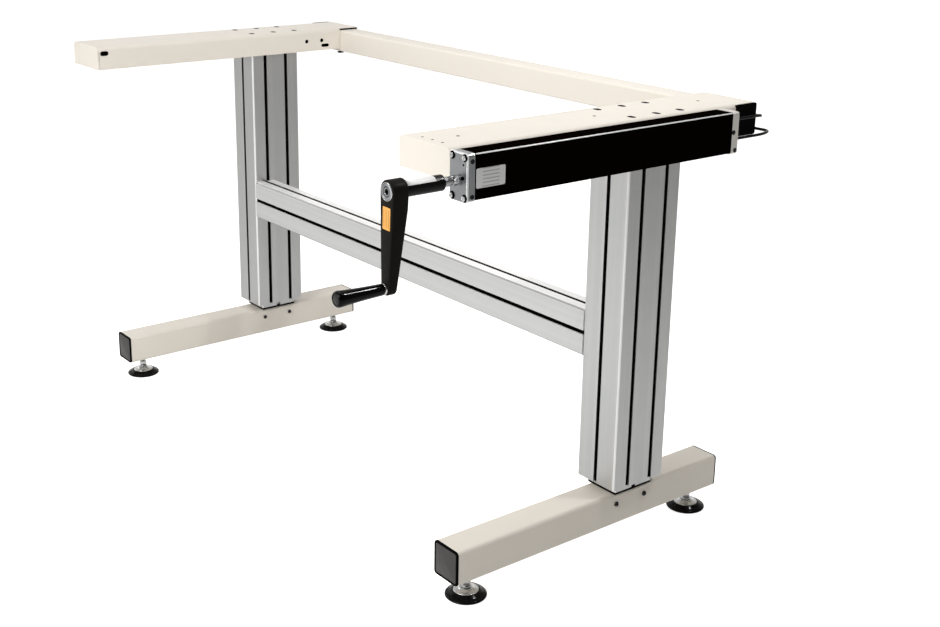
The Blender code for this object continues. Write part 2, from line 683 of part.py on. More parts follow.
HOSE_START = PUMP_REAR + 5 * GAP + REAR_PLATE_DEPTH + FITTING_LENGTH
HOSE_END = PORT_END + 3 * GAP
HOSE_ROUTE = {
    "right": ((PUMP_X, HOSE_START, 748), (PUMP_X, 170, 748), (PUMP_X, 200, 748),
              (PUMP_X - 5, 217, 746), (PUMP_X - 22, 230, 742.5), (PUMP_X - 42, 219, 740),
              (PUMP_X - 45, 195, 739), (PUMP_X - 45, 170, 738), (PUMP_X - 47, 145, 737),
              (PUMP_X - 62, 105, 734), (LEG_X, 84, PORT_Z), (LEG_X, HOSE_END, PORT_Z)),
    "left": ((PUMP_X, HOSE_START, 715), (PUMP_X, 180, 715), (PUMP_X - 1, 220, 715),
             (PUMP_X - 13, 247, 715), (PUMP_X - 32, 240, 717), (PUMP_X - 46, 219, 722),
             (PUMP_X - 56, 203, 722), (PUMP_X - 68, 196, 722), (PUMP_X - 95, 195, 722),
             (300, 195, 722), (0, 195, 722), (-300, 195, 722), (-575, 195, 722),
             (-594, 187, 723), (-LEG_X, 170, 726), (-LEG_X, 110, PORT_Z),
             (-LEG_X, HOSE_END, PORT_Z)),
}


def hose(side, spacing, parent):
    item = tube(f"hose_{side}", smooth_route(HOSE_ROUTE[side], spacing), HOSE_RADIUS)
    finish_part(item, (0, 0, 0), parent, "black_plastic")


def pump_piston(parent):
    """Nut that the pump screw drives along the bore."""
    rear, front = -340, -399
    hollow = SCREW_RADIUS + 0.5
    edge = PUMP_BORE - 0.5
    profile = ((edge, rear), (edge, front), (hollow, front), (hollow, rear))
    item = turned("pump_piston", profile, "Y", 24, closed=True)
    finish_part(item, (CRANK_X, 0, AXIS_Z), parent, "bright_steel")


# ---------------------------------------------------------------- crank

def crank_shaft(parent):
    """Crank shaft in front of the pump and, in one piece with it, the pump screw."""
    shoulder = -402
    shaft_front = HUB_FRONT + 7
    profile = ((0, 100), (SCREW_RADIUS, 100), (SCREW_RADIUS, shoulder),
               (SHAFT_RADIUS, shoulder), (SHAFT_RADIUS, shaft_front), (0, shaft_front))
    item = turned("crank_shaft", profile, "Y", 24)
    finish_part(item, (CRANK_X, 0, AXIS_Z), parent, "grey_casting")


def crank_sleeve(parent):
    front = HUB_REAR + GAP
    chamfer = 1.2
    hollow = SHAFT_RADIUS + 0.4
    profile = ((SLEEVE_RADIUS - chamfer, SLEEVE_REAR), (SLEEVE_RADIUS, SLEEVE_REAR - chamfer),
               (SLEEVE_RADIUS, front), (hollow, front), (hollow, SLEEVE_REAR))
    item = turned("crank_sleeve", profile, "Y", 28, closed=True)
    finish_part(item, (CRANK_X, 0, AXIS_Z), parent, "black_plastic")


def arm_outline():
    """Outside of a large and a small circle joined by their common tangents."""
    lean = degrees(asin((HUB_RADIUS - ARM_TIP_RADIUS) / ARM_LENGTH))
    hub = arc((0, 0), HUB_RADIUS, -lean, 180 + lean, 14)
    tip = arc((0, -ARM_LENGTH), ARM_TIP_RADIUS, 180 + lean, 360 - lean, 8)
    return hub + tip


def crank_arm(parent):
    thickness = HUB_REAR - HUB_FRONT
    item = extrusion("crank_arm", (arm_outline(),), "Y", thickness)
    middle = (HUB_REAR + HUB_FRONT) / 2
    finish_part(item, (CRANK_X, middle, AXIS_Z), parent, "dark_grey_paint")

    wedge = box("arm_taper", (60, 40, 260))
    wedge.rotation_euler = (radians(-5.9), 0, 0)
    lean_in = (CRANK_X, HUB_REAR + 13.3, AXIS_Z - 92)
    join(item, make_cutter(wedge, lean_in, parent), "DIFFERENCE")

    bore_front = HUB_FRONT + HUB_CAP_DEPTH + 3
    bore = rod("arm_bore", SHAFT_RADIUS + 0.4, 40, "Y", 24)
    join(item, make_cutter(bore, (CRANK_X, bore_front + 20, AXIS_Z), parent), "DIFFERENCE")
    pocket = rod("arm_cap_pocket", HUB_CAP_RADIUS + GAP, 20, "Y", 28)
    pocket_y = HUB_FRONT + HUB_CAP_DEPTH - 10
    join(item, make_cutter(pocket, (CRANK_X, pocket_y, AXIS_Z), parent), "DIFFERENCE")
    pin_hole = rod("arm_pin_hole", PIN_RADIUS + 0.4, 60, "Y", 16)
    join(item, make_cutter(pin_hole, (CRANK_X, HUB_FRONT, GRIP_Z), parent), "DIFFERENCE")


def crank_hub_cap(parent):
    back, face = HUB_FRONT + HUB_CAP_DEPTH - GAP, HUB_FRONT - 0.8
    profile = ((0, back), (HUB_CAP_RADIUS, back), (HUB_CAP_RADIUS, face + 1),
               (HUB_CAP_RADIUS - 1, face), (0, face))
    item = turned("crank_hub_cap", profile, "Y", 28)
    finish_part(item, (CRANK_X, 0, AXIS_Z), parent, "bright_steel")


def grip_pin(parent):
    collar_back = HUB_FRONT - GAP
    collar = 8.0
    tail, nose = HUB_FRONT + 12, GRIP_FRONT + 9
    profile = ((0, tail), (PIN_RADIUS, tail), (PIN_RADIUS, collar_back), (collar, collar_back),
               (collar, COLLAR_FRONT), (PIN_RADIUS, COLLAR_FRONT), (PIN_RADIUS, nose), (0, nose))
    item = turned("grip_pin", profile, "Y", 20)
    finish_part(item, (CRANK_X, 0, GRIP_Z), parent, "bright_steel")


def crank_grip(parent):
    back = COLLAR_FRONT - GAP
    bore_end = GRIP_FRONT + 8
    hollow = PIN_RADIUS + 0.4
    profile = ((0, bore_end), (hollow, bore_end), (hollow, back), (7.6, back),
               (8.4, back - 1.4), (9.4, -598), (11.1, -627), (11.7, -634), (11.2, -638),
               (8.4, GRIP_FRONT), (0, GRIP_FRONT))
    item = turned("crank_grip", profile, "Y", 28)
    finish_part(item, (CRANK_X, 0, GRIP_Z), parent, "gloss_black")


# ---------------------------------------------------------------- assembly

def build():
    base = pivot("base", (0, 0, 0))
    lift = pivot("lift", (0, 0, OUTER_BOTTOM), base)
    for side in LEGS:
        foot_tube(side, base)
        leg_anchor(side, base)
        leg_sole(side, base)
        inner_column(side, base)
        piston_rod(side, base)
        for end in FOOT_ENDS:
            foot_cap(end, side, base)
            foot_bolt(end, side, base)
            leveller(end, side, base)
        outer_column(side, lift)
        slide_bush(side, lift)
        column_head(side, lift)
        cylinder(side, lift)
        top_beam(side, lift)
        crossbar_cap(side, lift)
        crossbar_clip(side, lift)
        hose_fitting(side, lift)
    rear_crossbar(lift)
    lower_crossbar(lift)
    pump(lift)
    hose("right", 9, lift)
    hose("left", 25, lift)

    pump_piston(pivot("piston_axis", (CRANK_X, PUMP_FRONT, AXIS_Z), lift))
    crank = pivot("crank_axis", (CRANK_X, BEAM_FRONT, AXIS_Z), lift)
    crank.rotation_euler = (0.0, radians(CRANK_LEAN), 0.0)
    crank_shaft(crank)
    crank_sleeve(crank)
    crank_arm(crank)
    crank_hub_cap(crank)
    grip_pin(crank)
    crank_grip(pivot("grip_axis", (CRANK_X, HUB_FRONT, GRIP_Z), crank))


build()
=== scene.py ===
"""Looks of the height-adjustable workbench frame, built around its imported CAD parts.

Lengths are metres in the frame of the CAD: +X right, -Y front, +Z up, floor at z = 0.
"""
from math import asin, cos, pi, radians, sin, tau

import bmesh
import bpy
from mathutils import Matrix, Vector


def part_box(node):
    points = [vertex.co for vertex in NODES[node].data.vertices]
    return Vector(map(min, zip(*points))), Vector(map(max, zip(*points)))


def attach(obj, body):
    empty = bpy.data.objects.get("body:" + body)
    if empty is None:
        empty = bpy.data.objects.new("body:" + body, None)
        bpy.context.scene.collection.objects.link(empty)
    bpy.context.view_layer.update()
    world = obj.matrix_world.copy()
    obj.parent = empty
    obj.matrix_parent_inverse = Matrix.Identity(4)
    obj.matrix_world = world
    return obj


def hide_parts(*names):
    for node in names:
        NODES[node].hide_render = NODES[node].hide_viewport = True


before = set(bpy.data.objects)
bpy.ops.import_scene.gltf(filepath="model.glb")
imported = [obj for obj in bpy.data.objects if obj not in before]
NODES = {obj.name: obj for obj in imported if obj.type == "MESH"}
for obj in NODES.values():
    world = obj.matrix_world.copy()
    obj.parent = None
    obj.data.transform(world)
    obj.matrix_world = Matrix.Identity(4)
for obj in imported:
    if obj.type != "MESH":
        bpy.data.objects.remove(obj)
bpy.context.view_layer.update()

X, Y, Z = range(3)
MM = 0.001
SIDES = ("left", "right")
ENDS = ("front", "rear")

# the shared frame's origin, in the design millimetres of part.py
CENTRE = (18.6, -195.45)

# design millimetres
LEG_X = 600
CROSSBAR_Y = 195
PUMP_SIDE_X = 700.7
PLATE_FRONT_Y = -434.9
CRANK = (682.5, 726.3)
CRANK_LEAN = radians(1.94)
SHAFT_SCREW_Y = -446
ARM_REACH = 138.5
ARM_FRONT_Y, ARM_REAR_Y = -559.0, -533.0
HUB_RADIUS, TIP_RADIUS = 16.3, 10.0

# three-quarter view from the right front, a little above the frame
CAMERA_AT = (2.0833, -1.36675, 1.1631)
CAMERA_TURN = (52.2, 16.0, 0.7)
CAMERA_LENS = 51.03
CAMERA_SHIFT = (0.028, -0.0821)


def spot(x, y, z):
    """Design millimetres to metres in the shared frame."""
    return Vector((x - CENTRE[0], y - CENTRE[1], z)) * MM


def leg_x(side):
    return -LEG_X if side == "left" else LEG_X


def crank_spot(across, y, along):
    """Design point on the crank: across the arm, front to rear, and up from the axis."""
    return spot(CRANK[0] + across * cos(CRANK_LEAN) + along * sin(CRANK_LEAN), y,
                CRANK[1] - across * sin(CRANK_LEAN) + along * cos(CRANK_LEAN))


ARM_LABEL_AT = crank_spot(0.8, ARM_FRONT_Y, -37.5)
RATING_LABEL_AT = spot(PUMP_SIDE_X, -392.7, 728.6)


# ---------------------------------------------------------------- materials

def map_range(tree, source, low, high, to_low, to_high):
    """Carries low..high over to to_low..to_high and holds it there outside."""
    node = tree.nodes.new("ShaderNodeMapRange")
    tree.links.new(source, node.inputs["Value"])
    values = (("From Min", low), ("From Max", high), ("To Min", to_low), ("To Max", to_high))
    for name, value in values:
        node.inputs[name].default_value = value
    return node.outputs["Result"]


class Paint:
    """A Principled material and short ways to wire procedural detail into it."""

    def __init__(self, name, colour, roughness, metallic=0.0, **plain):
        self.material = bpy.data.materials.new(name)
        self.material.use_nodes = True
        self.tree = self.material.node_tree
        self.shader = self.tree.nodes["Principled BSDF"]
        self.colour = (*colour, 1.0)
        self.roughness = roughness
        self.shader.inputs["Base Color"].default_value = self.colour
        self.shader.inputs["Roughness"].default_value = roughness
        self.shader.inputs["Metallic"].default_value = metallic
        for socket, value in plain.items():
            self.shader.inputs[socket.replace("_", " ")].default_value = value
        self.place = self.tree.nodes.new("ShaderNodeTexCoord").outputs["Object"]
        self.material.diffuse_color = self.colour

    def node(self, kind, **settings):
        made = self.tree.nodes.new(kind)
        for name, value in settings.items():
            setattr(made, name, value)
        return made

    def feed(self, socket, source):
        self.tree.links.new(source, socket)

    def noise(self, size, stretch=(1, 1, 1), detail=4.0):
        """Noise whose blobs are about size metres across, longer along stretched axes."""
        mapping = self.node("ShaderNodeMapping")
        mapping.inputs["Scale"].default_value = [1 / (size * s) for s in stretch]
        self.feed(mapping.inputs["Vector"], self.place)
        noise = self.node("ShaderNodeTexNoise")
        noise.inputs["Scale"].default_value = 1.0
        noise.inputs["Detail"].default_value = detail
        self.feed(noise.inputs["Vector"], mapping.outputs["Vector"])
        return noise.outputs["Fac"]

    def span(self, source, low, high, to_low=0.0, to_high=1.0):
        return map_range(self.tree, source, low, high, to_low, to_high)

    def math(self, operation, first, second=0.0):
        node = self.node("ShaderNodeMath", operation=operation)
        for socket, value in zip(node.inputs, (first, second)):
            if isinstance(value, (int, float)):
                socket.default_value = value
            else:
                self.feed(socket, value)
        return node.outputs["Value"]

    def tint(self, mask, colour):
        """Lays another colour over the base where the mask is 1."""
        mix = self.node("ShaderNodeMix", data_type="RGBA")
        self.feed(mix.inputs["Factor"], mask)
        base = self.shader.inputs["Base Color"]
        if base.is_linked:
            self.feed(mix.inputs["A"], base.links[0].from_socket)
        else:
            mix.inputs["A"].default_value = self.colour
        mix.inputs["B"].default_value = (*colour, 1.0)
        self.feed(base, mix.outputs["Result"])

    def gloss(self, source, spread):
        """Roughness that varies by spread around its middle value."""
        low, high = self.roughness - spread, self.roughness + spread
        self.feed(self.shader.inputs["Roughness"], self.span(source, 0.3, 0.7, low, high))

    def bump(self, source, depth):
        bump = self.node("ShaderNodeBump")
        bump.inputs["Strength"].default_value = 1.0
        bump.inputs["Distance"].default_value = depth
        self.feed(bump.inputs["Height"], source)
        normal = self.shader.inputs["Normal"]
        if normal.is_linked:
            self.feed(bump.inputs["Normal"], normal.links[0].from_socket)
        self.feed(normal, bump.outputs["Normal"])

    def edges(self, width):
        """1 on edges and corners within width, 0 on flat faces."""
        bevel = self.node("ShaderNodeBevel", samples=4)
        bevel.inputs["Radius"].default_value = width
        plain = self.node("ShaderNodeNewGeometry")
        dot = self.node("ShaderNodeVectorMath", operation="DOT_PRODUCT")
        self.feed(dot.inputs[0], bevel.outputs["Normal"])
        self.feed(dot.inputs[1], plain.outputs["Normal"])
        return self.span(dot.outputs["Value"], 0.995, 0.9)

    def parts(self, vector):
        parts = self.node("ShaderNodeSeparateXYZ")
        self.feed(parts.inputs["Vector"], vector)
        return parts.outputs

    def normal_parts(self):
        return self.parts(self.node("ShaderNodeTexCoord").outputs["Normal"])

    def rounded(self):
        """1 on the rounded edges of a boxy piece, 0 on its faces."""
        x, y, z = (self.math("ABSOLUTE", part) for part in self.normal_parts())
        return self.span(self.math("MAXIMUM", self.math("MAXIMUM", x, y), z), 0.97, 0.86)


def powder_coat():
    paint = Paint("cream_powder_coat", (0.79, 0.735, 0.655), 0.40)
    paint.tint(paint.span(paint.noise(0.25), 0.35, 0.75, 0.0, 0.35), (0.745, 0.69, 0.61))
    worn = paint.math("MULTIPLY", paint.edges(0.0015), paint.span(paint.noise(0.03), 0.55, 0.7))
    paint.tint(paint.math("MULTIPLY", worn, 0.25), (0.60, 0.55, 0.49))
    paint.gloss(paint.noise(0.04), 0.07)
    paint.bump(paint.noise(0.0022, detail=2.0), 0.00006)
    return paint.material


def anodised(name, along, metallic):
    """Matt natural anodising with fine draw lines along one axis; painted highlight on column
    corners, painted shade on bar edges and a painted lighter top on bars.
    """
    paint = Paint(name, (0.57, 0.575, 0.57), 0.38, metallic)
    stretch = [1, 1, 1]
    stretch[along] = 900
    lines = paint.noise(0.0011, stretch, 3.0)
    wide = paint.noise(0.012, stretch, 2.0)
    paint.tint(paint.span(lines, 0.45, 0.8, 0.0, 0.30), (0.52, 0.525, 0.525))
    paint.tint(paint.span(wide, 0.45, 0.75, 0.0, 0.35), (0.68, 0.68, 0.67))
    paint.tint(paint.span(paint.noise(0.05), 0.6, 0.8, 0.0, 0.15), (0.50, 0.50, 0.50))
    # painted light: a white painted highlight on a column's rounded corners, a painted shade on a
    # bar's rounded edges
    if along == Z:
        paint.tint(paint.rounded(), (0.98, 0.98, 0.98))
    else:
        paint.tint(paint.rounded(), (0.30, 0.30, 0.30))
        # painted light: the upward faces of a bar are drawn lighter
        paint.tint(paint.span(paint.normal_parts()[Z], 0.8, 0.95), (0.97, 0.97, 0.96))
    paint.gloss(paint.math("ADD", paint.math("MULTIPLY", lines, 0.6),
                           paint.math("MULTIPLY", paint.noise(0.03), 0.4)), 0.08)
    paint.bump(lines, 0.00003)
    return paint.material


def black_anodised():
    paint = Paint("black_anodised_extrusion", (0.0016, 0.0009, 0.0006), 0.36,
                  Specular_IOR_Level=0.0)
    lines = paint.noise(0.0016, (1, 600, 1), 3.0)
    paint.tint(paint.span(lines, 0.5, 0.8, 0.0, 0.5), (0.004, 0.0022, 0.0016))
    paint.gloss(lines, 0.06)
    paint.bump(lines, 0.00002)
    return paint.material


def milled_plate(name, colour):
    paint = Paint(name, colour, 0.36, 0.85)
    marks = paint.noise(0.0012, (1, 1, 30), 3.0)
    stained = tuple(channel * 0.75 for channel in colour)
    paint.tint(paint.span(marks, 0.45, 0.75, 0.0, 0.4), stained)
    # painted highlight along the plate's rounded edges
    paint.tint(paint.rounded(), (0.92, 0.91, 0.89))
    paint.gloss(paint.noise(0.01), 0.08)
    paint.bump(marks, 0.00003)
    return paint.material


def bright_metal(name, colour, roughness, smudge=0.06):
    """Plated or ground steel with fine scratches and a few dull smudges."""
    paint = Paint(name, colour, roughness, 1.0)
    scratches = paint.noise(0.0009, (1, 1, 12), 3.0)
    dull = tuple(channel * 0.6 for channel in colour)
    paint.tint(paint.span(paint.noise(0.008), 0.55, 0.8, 0.0, 0.5), dull)
    paint.gloss(paint.noise(0.006), smudge)
    paint.bump(scratches, 0.00001)
    return paint.material


def moulded(name, colour, roughness, sheen, grain, depth, spread=0.06):
    """Moulded plastic or rubber: fine grain, uneven gloss and paler rubbed edges."""
    paint = Paint(name, colour, roughness, Specular_IOR_Level=sheen)
    pale = tuple(channel * 1.8 + 0.0006 for channel in colour)
    paint.tint(paint.span(paint.noise(0.03), 0.5, 0.8, 0.0, 0.5), pale)
    rubbed = paint.math("MULTIPLY", paint.edges(0.0008), paint.span(paint.noise(0.01), 0.45, 0.7))
    paint.tint(paint.math("MULTIPLY", rubbed, 0.35), tuple(channel + 0.02 for channel in pale))
    paint.gloss(paint.noise(0.015), spread)
    paint.bump(paint.noise(grain, detail=2.0), depth)
    return paint.material


def film(name, colour, roughness, metallic, rows=None):
    """Label film, plain or ruled; also the plain white of the painted edge highlights.

    rows = axis across the lines, their spacing, axis along them, and on that axis the
    middle and half the length of the ruled part.
    """
    paint = Paint(name, colour, roughness, metallic)
    paint.tint(paint.span(paint.noise(0.004), 0.5, 0.8, 0.0, 0.2),
               tuple(channel * 0.8 for channel in colour))
    if rows:
        across, spacing, along, middle, half = rows
        place = paint.parts(paint.place)
        wave = paint.math("FRACT", paint.math("MULTIPLY", place[across], 1 / spacing))
        row = paint.math("MULTIPLY", paint.span(wave, 0.60, 0.66), paint.span(wave, 0.98, 0.92))
        away = paint.math("ABSOLUTE", paint.math("SUBTRACT", place[along], middle))
        inside = paint.span(away, half, half - 0.0004)
        paint.tint(paint.math("MULTIPLY", paint.math("MULTIPLY", row, inside), 0.6),
                   tuple(channel * 0.3 for channel in colour))
    paint.gloss(paint.noise(0.006), 0.05)
    paint.bump(paint.noise(0.003), 0.00001)
    return paint.material


FINISHES = {
    "cream": powder_coat(),
    "column": anodised("anodised_column", Z, 1.0),
    "crossbar": anodised("anodised_crossbar", X, 0.35),
    "pump": black_anodised(),
    "plate": milled_plate("milled_plate", (0.32, 0.33, 0.34)),
    "rear_plate": milled_plate("rear_plate", (0.80, 0.77, 0.72)),
    "zinc": bright_metal("zinc_plate", (0.66, 0.67, 0.66), 0.24),
    "chrome": bright_metal("chrome_plate", (0.82, 0.82, 0.82), 0.09, 0.03),
    "steel": bright_metal("ground_steel", (0.42, 0.42, 0.43), 0.22),
    "bolt": bright_metal("blackened_bolt", (0.05, 0.05, 0.05), 0.22),
    "oxide": bright_metal("black_oxide", (0.035, 0.035, 0.038), 0.38),
    "hub": bright_metal("hub_disc", (0.36, 0.37, 0.39), 0.28, 0.05),
    "plastic": moulded("black_plastic", (0.0010, 0.0009, 0.0008), 0.42, 0.02, 0.0012, 0.00004),
    "cap_panel": moulded("cap_panel", (0.038, 0.034, 0.032), 0.42, 0.5, 0.0014, 0.00005),
    "sleeve": moulded("sleeve_plastic", (0.002, 0.0018, 0.0016), 0.30, 0.16, 0.0012, 0.00003),
    "rubber": moulded("black_rubber", (0.002, 0.002, 0.002), 0.16, 0.12, 0.0016, 0.00002),
    "hose": moulded("hose_cover", (0.002, 0.002, 0.0021), 0.20, 0.15, 0.0015, 0.00001, 0.04),
    "charcoal": moulded("charcoal_coat", (0.0088, 0.0080, 0.0066), 0.42, 0.05, 0.0011, 0.00006),
    "grip": moulded("gloss_grip", (0.001, 0.001, 0.001), 0.08, 0.13, 0.004, 0.000005, 0.03),
    "grip_cap": moulded("grip_cap", (0.008, 0.008, 0.008), 0.28, 0.35, 0.002, 0.00001, 0.05),
    # near-black without sheen: the painted shade of slots, openings, holes and gaps
    "dark": moulded("socket_shadow", (0.001, 0.001, 0.001), 0.6, 0.0, 0.002, 0.00001),
    # white bars that paint the highlights along the pump's edges
    "painted_edge_highlight": film("painted_edge_highlight", (0.95, 0.95, 0.95), 0.30, 0.25),
    "silver_label": film("silver_film", (0.70, 0.70, 0.70), 0.42, 0.15,
                         (Z, 0.0052, Y, RATING_LABEL_AT.y + 0.00045, 0.0155)),
    "orange_label": film("orange_film", (0.85, 0.40, 0.07), 0.4, 0.0,
                         (X, 0.0054, Z, ARM_LABEL_AT.z, 0.0125)),
    "white_label": film("white_film", (0.92, 0.92, 0.90), 0.4, 0.0),
}


# ---------------------------------------------------------------- mesh tools

def mesh_object(name, shape, material, body):
    mesh = bpy.data.meshes.new(name)
    bmesh.ops.recalc_face_normals(shape, faces=shape.faces)
    shape.to_mesh(mesh)
    shape.free()
    mesh.materials.append(FINISHES[material])
    item = bpy.data.objects.new(name, mesh)
    bpy.context.scene.collection.objects.link(item)
    smooth(item)
    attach(item, body)
    return item


def smooth(item, angle=32):
    for polygon in item.data.polygons:
        polygon.use_smooth = True
    item.data.set_sharp_from_angle(angle=radians(angle))


def round_off(item, width, segments):
    """Rounded edges; flat faces that the CAD split into triangles are merged first."""
    flat = item.modifiers.new("merge flat faces", "DECIMATE")
    flat.decimate_type = "DISSOLVE"
    flat.angle_limit = radians(0.5)
    bevel = item.modifiers.new("round edges", "BEVEL")
    bevel.width = width
    bevel.segments = segments
    bevel.limit_method = "ANGLE"
    bevel.angle_limit = radians(35)
    bevel.harden_normals = True


def soften(points, radius, steps=3):
    """A copy of a profile whose inner corners are rounded."""
    points = [Vector(point) for point in points]
    made = [points[0]]
    for before, corner, after in zip(points, points[1:], points[2:]):
        back, on = before - corner, after - corner
        reach = min(radius, back.length * 0.45, on.length * 0.45)
        start, end = corner + back.normalized() * reach, corner + on.normalized() * reach
        for step in range(steps + 1):
            t = step / steps
            made.append(start.lerp(corner, t).lerp(corner.lerp(end, t), t))
    return made + [points[-1]]


AXIS_FRAME = {
    "x": Matrix(((0, 0, 1), (0, 1, 0), (-1, 0, 0))),
    "y": Matrix(((1, 0, 0), (0, 0, 1), (0, -1, 0))),
    "z": Matrix.Identity(3),
}
# plates: station axis with its sign; the outline's height runs along Z, or along Y on top
PANEL_FRAME = {
    "+x": Matrix(((0, 0, 1), (1, 0, 0), (0, 1, 0))),
    "-x": Matrix(((0, 0, -1), (-1, 0, 0), (0, 1, 0))),
    "+y": Matrix(((-1, 0, 0), (0, 0, 1), (0, 1, 0))),
    "-y": Matrix(((1, 0, 0), (0, 0, -1), (0, 1, 0))),
    "+z": Matrix.Identity(3),
    "-z": Matrix(((1, 0, 0), (0, -1, 0), (0, 0, -1))),
}


def lathe(name, profile, at, axis, material, body, segments=48):
    """A turned piece: (radius, station) points in metres, the station along the axis.

    A third entry gives a ring that many flats; 4 stands for a cross recess.
    """
    shape = bmesh.new()
    frame_of_axis = AXIS_FRAME[axis]
    rings = []
    for radius, station, *flats in profile:
        if radius < 1e-6:
            rings.append([shape.verts.new(frame_of_axis @ Vector((0, 0, station)) + Vector(at))])
            continue
        ring = []
        for step in range(segments):
            angle = tau * step / segments
            reach = radius * flat_reach(angle, flats[0]) if flats else radius
            place = Vector((reach * cos(angle), reach * sin(angle), station))
            ring.append(shape.verts.new(frame_of_axis @ place + Vector(at)))
        rings.append(ring)
    bridge_rings(shape, rings)
    return mesh_object(name, shape, material, body)


def flat_reach(angle, flats):
    """Reach of a polygon's edge, or of a cross's arms, as a share of its corner's."""
    if flats == 4:
        arm_half_angle, waist = 0.2, 0.36
        away = (angle + pi / 4) % (pi / 2) - pi / 4
        return 1.0 if abs(away) < arm_half_angle else waist
    half = pi / flats
    return cos(half) / cos(angle % (2 * half) - half)


def thread(name, radius, low, high, at, material, body):
    """A screw thread: rings that climb one pitch a turn, between root and crest."""
    pitch, segments = 1.5 * MM, 24
    crest, root = radius, radius - 0.6 * pitch
    waves = (crest, (crest + root) / 2, root, (crest + root) / 2)
    shape = bmesh.new()
    rings = []
    for step in range(int(4 * (high - low) / pitch)):
        ring = []
        for turn in range(segments):
            angle = tau * turn / segments
            reach = waves[round(4 * (step / 4 - turn / segments)) % 4]
            ring.append(shape.verts.new(Vector((reach * cos(angle), reach * sin(angle),
                                                low + step * pitch / 4)) + Vector(at)))
        rings.append(ring)
    solid_from_rings(shape, rings)
    return mesh_object(name, shape, material, body)


def rounded_outline(half_width, half_height, radius, steps=6):
    """Corner points of a rounded rectangle, anticlockwise."""
    points = []
    for x, y, start in ((1, 1, 0), (-1, 1, 90), (-1, -1, 180), (1, -1, 270)):
        for step in range(steps + 1):
            angle = radians(start + 90 * step / steps)
            points.append((x * (half_width - radius) + radius * cos(angle),
                           y * (half_height - radius) + radius * sin(angle)))
    return points


def panel(name, rings, at, axis, material, body):
    """A moulded plate: rounded rectangles (half width, half height, corner, station)."""
    shape = bmesh.new()
    frame_of_axis = PANEL_FRAME[axis]
    loops = []
    for half_width, half_height, radius, station in rings:
        outline = rounded_outline(half_width, half_height, radius)
        loops.append([shape.verts.new(frame_of_axis @ Vector((x, y, station)) + Vector(at))
                      for x, y in outline])
    solid_from_rings(shape, loops)
    return mesh_object(name, shape, material, body)


def plate_rings(half_width, half_height, corner, depth, edge):
    """Rings of a thin plate with softly rounded rims."""
    slim = edge * 0.3
    return ((half_width - edge, half_height - edge, max(corner - edge, 0.0002), 0.0),
            (half_width - slim, half_height - slim, max(corner - slim, 0.0002), slim),
            (half_width, half_height, corner, edge),
            (half_width, half_height, corner, depth - edge),
            (half_width - slim, half_height - slim, max(corner - slim, 0.0002), depth - slim),
            (half_width - edge, half_height - edge, max(corner - edge, 0.0002), depth))


def bridge_rings(shape, rings):
    for lower, upper in zip(rings, rings[1:]):
        count = max(len(lower), len(upper))
        if count == 1:
            continue
        for step in range(count):
            after = (step + 1) % count
            corners = [lower[step % len(lower)], lower[after % len(lower)],
                       upper[after % len(upper)], upper[step % len(upper)]]
            unique = []
            for corner in corners:
                if corner not in unique:
                    unique.append(corner)
            shape.faces.new(unique)


def solid_from_rings(shape, rings):
    """Walls between the rings and a flat face at each end."""
    bridge_rings(shape, rings)
    shape.faces.new(rings[-1])
    shape.faces.new(reversed(rings[0]))


def centre(node):
    low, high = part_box(node)
    return (low + high) / 2


# ---------------------------------------------------------------- CAD nodes

def dress(node, material, width=0.0, segments=3):
    item = NODES[node]
    item.data.materials.clear()
    item.data.materials.append(FINISHES[material])
    smooth(item)
    if width:
        round_off(item, width, segments)


def dress_nodes():
    for side in SIDES:
        dress(f"foot_tube_{side}", "cream")
        dress(f"top_beam_{side}", "cream", 0.0007)
        dress(f"outer_column_{side}", "column", 0.0004, 2)
        dress(f"inner_column_{side}", "column", 0.0004, 2)
        dress(f"leg_anchor_{side}", "oxide")
        dress(f"leg_sole_{side}", "plastic")
        dress(f"piston_rod_{side}", "steel")
        dress(f"slide_bush_{side}", "plastic")
        dress(f"column_head_{side}", "oxide", 0.001)
        dress(f"cylinder_{side}", "oxide")
        dress(f"crossbar_cap_{side}", "plastic", 0.0008)
        dress(f"crossbar_clip_{side}", "plastic", 0.0006)
    dress("rear_crossbar", "cream")
    dress("lower_crossbar", "crossbar", 0.0004, 2)
    dress("pump_housing", "pump")
    dress("pump_front_plate", "plate", 0.0016, 3)
    dress("pump_rear_plate", "rear_plate", 0.0012, 3)
    dress("pump_piston", "steel")
    dress("crank_shaft", "steel")
    dress("crank_sleeve", "sleeve", 0.0004, 2)


# ---------------------------------------------------------------- feet

